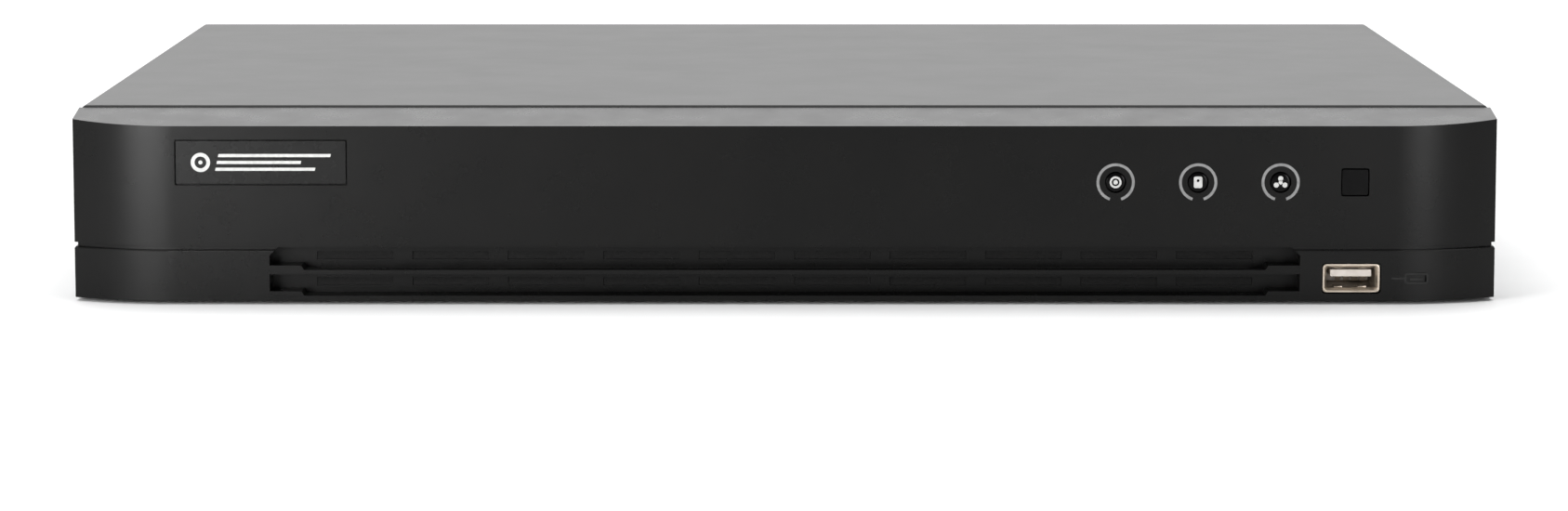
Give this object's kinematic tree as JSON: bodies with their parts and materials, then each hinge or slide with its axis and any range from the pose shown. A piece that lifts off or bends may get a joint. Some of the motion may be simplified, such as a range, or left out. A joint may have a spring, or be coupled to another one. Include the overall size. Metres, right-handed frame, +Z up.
{
  "type": "digital video recorder",
  "caption": "Low-profile digital video recorder with a curved plastic front, rows of bayonet camera sockets and other ports on the rear panel, and a disk drive and fan inside.",
  "frame": {"origin": "under the middle of the recorder, on the surface that its feet stand on", "axes": "+X across the width, to the right of someone facing the front; the front faces -Y; +Z up"},
  "size_m": [0.385, 0.315, 0.052],
  "materials": {
    "cover_paint": "satin black powder coat",
    "screw_black": "black zinc",
    "bezel_plastic": "satin black moulding",
    "smoked_plastic": "smoked gloss",
    "panel_steel": "bare zinc-coated sheet, matt",
    "connector_nickel": "nickel plate",
    "connector_steel": "tinned sheet",
    "insulator_white": "natural moulding",
    "insert_red": "red moulding",
    "insulator_blue": "blue moulding",
    "socket_black": "black moulding",
    "terminal_green": "green moulding",
    "button_orange": "orange moulding",
    "board_green": "solder mask",
    "foot_rubber": "matt",
    "cast_aluminium": "as cast",
    "drive_steel": "smooth",
    "cable_red": "cable jacket",
    "ribbon_grey": "ribbon jacket"
  },
  "bodies": {
    "case": {"audio_housing": "socket_black", "audio_in_insert": "insert_red", "audio_in_ring": "connector_steel", "audio_out_insert": "insulator_white", "audio_out_ring": "connector_steel", "badge_plate": "smoked_plastic", "base_chassis": "panel_steel", "camera_insulator_block_1": "insulator_white", "camera_insulator_block_2": "insulator_white", "camera_insulator_block_3": "insulator_white", "camera_insulator_block_4": "insulator_white", "camera_socket_block_1": "connector_nickel", "camera_socket_block_2": "connector_nickel", "camera_socket_block_3": "connector_nickel", "camera_socket_block_4": "connector_nickel", "clock_battery": "drive_steel", "cover_screw_1": "screw_black", "cover_screw_2": "screw_black", "cover_screw_3": "screw_black", "cover_screw_4": "screw_black", "digital_video_shell": "connector_steel", "digital_video_tongue": "socket_black", "drive_cable": "cable_red", "fan_frame": "socket_black", "foot_1": "foot_rubber", "foot_2": "foot_rubber", "foot_3": "foot_rubber", "foot_4": "foot_rubber", "front_bezel": "bezel_plastic", "front_board": "board_green", "front_ribbon_cable": "ribbon_grey", "front_usb_shell": "connector_steel", "front_usb_tongue": "insulator_white", "ground_screw": "screw_black", "hdd_board": "board_green", "hdd_casting": "cast_aluminium", "hdd_lid": "drive_steel", "heat_sink": "cast_aluminium", "indicator_light_guide": "smoked_plastic", "infrared_window": "smoked_plastic", "main_board": "board_green", "network_insert": "socket_black", "network_usb_housing": "connector_steel", "power_socket_body": "socket_black", "power_socket_pin": "connector_steel", "rear_usb_tongue_1": "insulator_blue", "rear_usb_tongue_2": "insulator_blue", "terminal_block": "terminal_green", "top_cover": "cover_paint", "vga_insulator": "insulator_blue", "vga_jackscrew_1": "connector_steel", "vga_jackscrew_2": "connector_steel", "vga_shell": "connector_steel", "video_out_insulator": "insulator_white", "video_out_shell": "connector_nickel"},
    "fan": {"fan_rotor": "socket_black"},
    "platters": {"hdd_platters": "drive_steel"},
    "head_arm": {"hdd_arm": "cast_aluminium"},
    "button_1": {"terminal_button_1": "button_orange"},
    "button_2": {"terminal_button_2": "button_orange"}
  },
  "joints": [
    {"name": "fan_spin", "type": "hinge", "parent": "case", "child": "fan", "pos_m": [0.02, 0.075, 0.031], "axis": [0, 0, 1], "continuous": true},
    {"name": "platter_spin", "type": "hinge", "parent": "case", "child": "platters", "pos_m": [-0.1125, -0.0762, 0.0173], "axis": [0, 0, 1], "continuous": true},
    {"name": "head_arm_swing", "type": "hinge", "parent": "case", "child": "head_arm", "pos_m": [-0.0565, -0.098, 0.0179], "axis": [0, 0, 1], "range_deg": [0, 30]},
    {"name": "button_1_press", "type": "slide", "parent": "case", "child": "button_1", "axis": [0, -1, 0], "range_m": [0, 0.0015], "stiffness_N_per_m": 600},
    {"name": "button_2_press", "type": "slide", "parent": "case", "child": "button_2", "axis": [0, -1, 0], "range_m": [0, 0.0015], "stiffness_N_per_m": 600}
  ]
}
